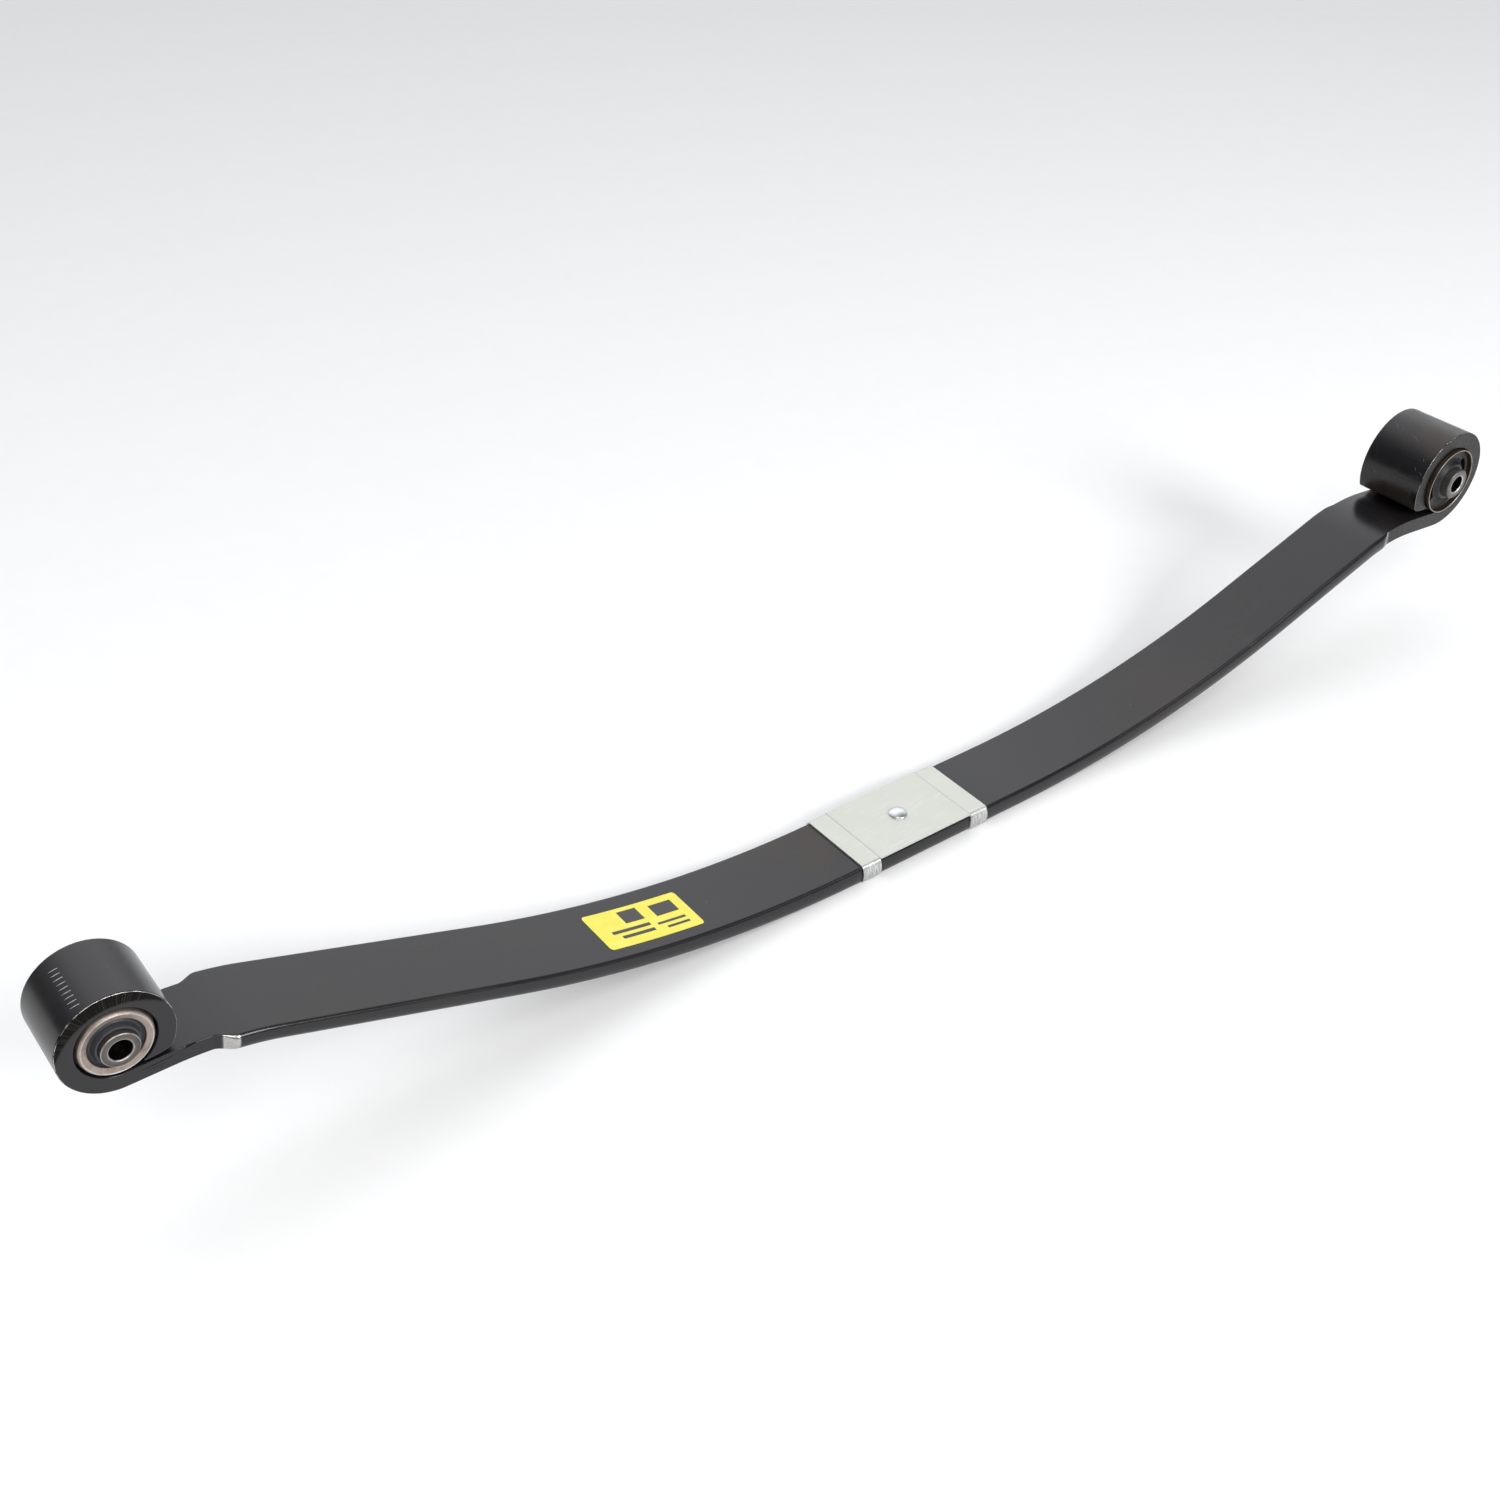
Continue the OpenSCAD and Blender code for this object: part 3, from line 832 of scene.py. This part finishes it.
def centre_dowel():
    """Dowel through the leaf with its domed head on the plate."""
    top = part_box("centre_dowel")[1].z / MM
    head_r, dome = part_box("centre_dowel")[1].x / MM, 2.6
    dome_r = (head_r ** 2 + dome ** 2) / (2 * dome)
    corners = [(0, -SEAT_T + 0.02, 0), (6, -SEAT_T + 0.02, 0.8), (6, 0.1, 0), (8.2, 0.1, 0)]
    corners += [(8.2, PLATE_TOP - 0.1, 0), (head_r, PLATE_TOP + 0.02, 0.15), (head_r, top - dome, 0.7)]
    for i in range(7, -1, -1):
        a = math.asin(head_r / dome_r) * i / 8
        corners.append((dome_r * math.sin(a), top - dome_r * (1 - math.cos(a)), 0))
    piece = lathe("dowel", Vector((0, 0, 0)), corners, DOWEL_ZINC, upright=True, turns=72)
    sharpen(piece, 50)
    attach(piece, "leaf")
    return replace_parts(piece, "centre_dowel")


# ---------------------------------------------------------------- label

LABEL_LIFT, LABEL_T, LABEL_CORNER = 0.12, 0.20, 3.0
# Plain blocks that stand in for the print, as shares of the label (along, across)
LABEL_BLOCKS = [
    (0.10, 0.34, 0.52, 0.84), (0.46, 0.66, 0.56, 0.90),
    (0.10, 0.40, 0.30, 0.36), (0.46, 0.86, 0.36, 0.44),
    (0.46, 0.80, 0.20, 0.28), (0.10, 0.34, 0.16, 0.22),
]


def label_edge(along, length):
    """How far the rounded corners pull the label's long sides in."""
    close = LABEL_CORNER - min(along, length - along)
    if close <= 0:
        return 0.0
    return LABEL_CORNER - math.sqrt(max(0.0, LABEL_CORNER ** 2 - close ** 2))


def weight_label():
    """Bonded label on the rear arm, with plain blocks in place of its print."""
    low, high = (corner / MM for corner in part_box("weight_label"))
    near, far = -high.x + 0.05, -low.x - 0.05
    bottom, width = low.y + 0.05, high.y - low.y - 0.1
    length = far - near
    along = {0.0, length} | {length * k / 28 for k in range(29)}
    along |= {LABEL_CORNER * k / 4 for k in range(5)} | {length - LABEL_CORNER * k / 4 for k in range(5)}
    along |= {length * share for block in LABEL_BLOCKS for share in block[:2]}
    across = {0.0, LABEL_CORNER, width - LABEL_CORNER, width}
    across |= {width * share for block in LABEL_BLOCKS for share in block[2:]}
    along, across = sorted(along), sorted(across)
    vertices, faces, finish = [], [], []
    for a in along:
        s = REAR.length_at(near + a)
        pull = label_edge(a, length)
        for b in across:
            b = min(width - pull, max(pull, b))
            vertices.append(REAR.place(s, REAR.thickness(s) / 2 + LABEL_LIFT, bottom + b))
    per = len(across)
    for i in range(len(along) - 1):
        for j in range(per - 1):
            faces.append((i * per + j, i * per + j + 1, (i + 1) * per + j + 1, (i + 1) * per + j))
            a, b = (along[i] + along[i + 1]) / 2 / length, (across[j] + across[j + 1]) / 2 / width
            inked = any(x0 < a < x1 and y0 < b < y1 for x0, x1, y0, y1 in LABEL_BLOCKS)
            finish.append(1 if inked else 0)
    piece = make_piece("spring_label", vertices, faces, [LABEL_YELLOW, LABEL_DARK], faces_material=finish)
    if piece.data.polygons[0].normal.z < 0:
        piece.data.flip_normals()
    film = piece.modifiers.new("film", "SOLIDIFY")
    film.thickness = LABEL_T * MM
    film.offset = 1
    apply_modifiers(piece)
    sharpen(piece, 40)
    bend_with_eye(piece)
    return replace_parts(piece, "weight_label")


# ---------------------------------------------------------------- bushes

def bush_piece(node, name, middle, corners, material, body, bright=(), steps=5, bore=0):
    piece = lathe(name, middle, corners, material, bright, steps=steps, bore=bore)
    sharpen(piece, 45)
    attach(piece, body)
    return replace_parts(piece, node)


def mirrored_ends(half_outline):
    """Outline of a ring whose two ends are alike, from the corners of its +Y half."""
    other = [(r, -y, radius) for r, y, radius in reversed(half_outline[1:-1])]
    return half_outline + other


def rear_bush():
    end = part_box("rear_outer_sleeve")[1].y / MM
    outer = (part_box("rear_outer_sleeve")[1].z - REAR_EYE.z) / MM
    sleeve = mirrored_ends([
        (outer - 3, 0, 0), (outer - 3, end - 3.0, 0.3), (17.6, end - 3.0, 0.9),
        (17.6, end - 1.3, 0.8), (outer - 3.7, end - 0.5, 0.2), (outer - 3.5, end - 0.02, 0.3),
        (outer - 1.9, end - 1.3, 2.0), (outer - 1.3, end - 5, 2.0), (outer, end - 8, 1.0),
        (outer, 0, 0)])
    # The bright line along the bead's crest is a painted highlight
    bush_piece("rear_outer_sleeve", "rear_sleeve", REAR_EYE, sleeve, BEAD_STEEL, "rear_eye",
               [(outer - 3.5, end - 0.1, 0.3)], 7)
    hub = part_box("rear_rubber")
    collar_end, skirt = hub[1].y / MM, (hub[1].z - REAR_EYE.z) / MM
    rubber = mirrored_ends([
        (12.15, 0, 0), (12.15, collar_end, 0.4), (13.6, collar_end - 0.4, 0.7),
        (14.7, collar_end - 4.4, 0.8), (15.8, collar_end - 5.4, 0.6), (17.0, collar_end - 4.2, 0.8),
        (17.5, collar_end - 3.4, 0.3), (17.5, collar_end - 4.6, 0.3), (skirt, collar_end - 4.6, 0.3),
        (skirt, 0, 0)])
    bush_piece("rear_rubber", "rear_bush", REAR_EYE, rubber, REAR_RUBBER, "rear_eye",
               [(17.0, collar_end - 4.0, 0.5)])
    inner_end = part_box("rear_inner_sleeve")[1].y / MM
    bolt = mirrored_ends([
        (7.15, 0, 0), (7.15, inner_end - 0.7, 0.1), (7.8, inner_end, 0.15),
        (11.5, inner_end, 0.2), (12.05, inner_end - 0.5, 0.2), (12.05, 0, 0)])
    bush_piece("rear_inner_sleeve", "rear_bolt_tube", REAR_EYE, bolt, BOLT_STEEL,
               "rear_bolt_sleeve",
               [(7.5, inner_end - 0.4, 0.55), (11.9, inner_end - 0.2, 0.3)], bore=7.2)


def kidney(turn, depth):
    """Drill for one curved void with round ends, through the front rubber."""
    mid_r, half_w, sweep = 24.0, 2.9, math.radians(36)
    outline = []
    for i in range(25):
        outline.append((mid_r + half_w, sweep * (i / 12 - 1)))
    for i in range(1, 8):
        a = math.pi * i / 8
        outline.append((mid_r + half_w * math.cos(a), sweep + half_w * math.sin(a) / mid_r))
    for i in range(25):
        outline.append((mid_r - half_w, sweep * (1 - i / 12)))
    for i in range(1, 8):
        a = math.pi * i / 8
        outline.append((mid_r - half_w * math.cos(a), -sweep - half_w * math.sin(a) / mid_r))
    rings = []
    for y in (-depth, depth):
        rings.append([FRONT_EYE + Vector((r * math.cos(a + turn), y, r * math.sin(a + turn))) * MM
                      for r, a in outline])
    return loft("void_drill", rings, False, FRONT_RUBBER, [0.0, 2 * depth * MM])


def front_bush():
    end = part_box("front_outer_sleeve")[1].y / MM
    outer = (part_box("front_outer_sleeve")[1].z - FRONT_EYE.z) / MM
    sleeve = mirrored_ends([
        (outer - 1.9, 0, 0), (outer - 1.9, end - 0.6, 0.3), (outer - 1.4, end - 0.05, 0.2),
        (outer - 0.7, end - 0.1, 0.3), (outer - 0.7, end - 5, 1.0), (outer, end - 8, 1.0),
        (outer, 0, 0)])
    bush_piece("front_outer_sleeve", "front_sleeve", FRONT_EYE, sleeve, THIN_STEEL, "front_eye",
               [(outer - 1.1, end, 0.45)])
    hub_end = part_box("front_rubber")[1].y / MM
    web = hub_end - 4
    rubber = mirrored_ends([
        (14.45, 0, 0), (14.45, hub_end - 0.05, 0.5), (17.2, hub_end - 0.6, 1.2),
        (19.6, web + 0.4, 1.4), (22.5, web - 1.2, 1.2), (27.5, web - 1.0, 1.0),
        (28.6, web - 0.1, 0.8), (30.4, web - 0.1, 0.4), (30.4, 0, 0)])
    piece = bush_piece("front_rubber", "front_bush", FRONT_EYE, rubber, FRONT_RUBBER,
                       "front_eye",
                       [(28.4, web - 0.2, 0.6), (17.2, hub_end - 0.6, 0.9)])
    cut_away(piece, kidney(0, 60))
    cut_away(piece, kidney(math.pi, 60))
    sharpen(piece, 45)


def front_bolt_tube():
    inner_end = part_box("front_inner_sleeve")[1].y / MM
    bolt = mirrored_ends([
        (8.15, 0, 0), (8.15, inner_end - 0.8, 0.2), (8.9, inner_end, 0.2),
        (13.7, inner_end, 0.4), (14.35, inner_end - 0.6, 0.3), (14.35, 0, 0)])
    bush_piece("front_inner_sleeve", "front_bolt_tube", FRONT_EYE, bolt, HUB_STEEL,
               "front_bolt_sleeve", [(8.6, inner_end - 0.3, 0.6)],
               bore=8.2)


liner_plate()
centre_dowel()
weight_label()
rear_bush()
front_bush()
front_bolt_tube()


# ---------------------------------------------------------------- stage

def stage_floor():
    reach, low = 12.0, cad_low.z
    corners = [(-reach, -reach), (reach, -reach), (reach, reach), (-reach, reach)]
    floor = make_piece("pale_floor", [Vector((x, y, low)) for x, y in corners],
                       [(0, 1, 2, 3)], [floor_paper()])
    if floor.data.polygons[0].normal.z < 0:
        floor.data.flip_normals()


# How the sky brightens along each direction, as (axis, from, to, dim, bright)
SKY = [("X", -0.80, 0.10, 0.10, 1.0), ("Y", -0.30, 0.50, 0.12, 1.0), ("Z", 0.0, 0.55, 0.75, 1.7)]


def studio_sky():
    """Soft light, brightest high up behind the object and to its right."""
    world = bpy.data.worlds.new("studio")
    world.use_nodes = True
    tree = world.node_tree
    back = tree.nodes["Background"]
    place = tree.nodes.new("ShaderNodeTexCoord")
    split = tree.nodes.new("ShaderNodeSeparateXYZ")
    tree.links.new(place.outputs["Generated"], split.inputs[0])
    strength = None
    for axis, low, high, dim, bright in SKY:
        share = tree.nodes.new("ShaderNodeMapRange")
        share.interpolation_type = "SMOOTHSTEP"
        share.inputs["From Min"].default_value = low
        share.inputs["From Max"].default_value = high
        share.inputs["To Min"].default_value = dim
        share.inputs["To Max"].default_value = bright
        tree.links.new(split.outputs[axis], share.inputs["Value"])
        if strength is None:
            strength = share.outputs[0]
            continue
        product = tree.nodes.new("ShaderNodeMath")
        product.operation = "MULTIPLY"
        tree.links.new(strength, product.inputs[0])
        tree.links.new(share.outputs[0], product.inputs[1])
        strength = product.outputs[0]
    tree.links.new(strength, back.inputs["Strength"])
    back.inputs["Color"].default_value = (0.97, 0.98, 1.0, 1.0)
    bpy.context.scene.world = world


def softbox(name, place, aim, size, power):
    light = bpy.data.lights.new(name, "AREA")
    light.shape = "RECTANGLE"
    light.size, light.size_y = size
    light.energy = power
    lamp = bpy.data.objects.new(name, light)
    lamp.location = place
    lamp.rotation_euler = (Vector(aim) - Vector(place)).to_track_quat("-Z", "Y").to_euler()
    bpy.context.scene.collection.objects.link(lamp)


CAMERA_ANGLES = (-38.07, 36.47, 1.75)    # azimuth, elevation and roll, in degrees
CAMERA_PLACE = (-0.7963, -0.8167, 0.9003)
CAMERA_LENS, CAMERA_SENSOR = 42.14, 36    # in millimetres


def photo_camera():
    """Camera at the photograph's angle."""
    azimuth, elevation, roll = (math.radians(angle) for angle in CAMERA_ANGLES)
    ahead = Vector((-math.sin(azimuth) * math.cos(elevation),
                    math.cos(azimuth) * math.cos(elevation), -math.sin(elevation)))
    right = Vector((math.cos(azimuth), math.sin(azimuth), 0))
    up = right.cross(ahead)
    across = right * math.cos(roll) + up * math.sin(roll)
    upward = up * math.cos(roll) - right * math.sin(roll)
    data = bpy.data.cameras.new("camera")
    data.sensor_width = CAMERA_SENSOR
    data.lens = CAMERA_LENS
    camera = bpy.data.objects.new("camera", data)
    turn = Matrix((across, upward, -ahead)).transposed().to_4x4()
    camera.matrix_world = Matrix.Translation(CAMERA_PLACE) @ turn
    bpy.context.scene.collection.objects.link(camera)
    bpy.context.scene.camera = camera


stage_floor()
studio_sky()
softbox("front_softbox", (-1.9, -2.4, 3.4), (0, 0, 0), (3.0, 3.0), 105)
softbox("edge_softbox", (0.9, -3.2, 2.0), (-0.3, 0, 0.1), (1.6, 1.2), 95)
photo_camera()
bpy.context.scene.view_settings.view_transform = "Standard"
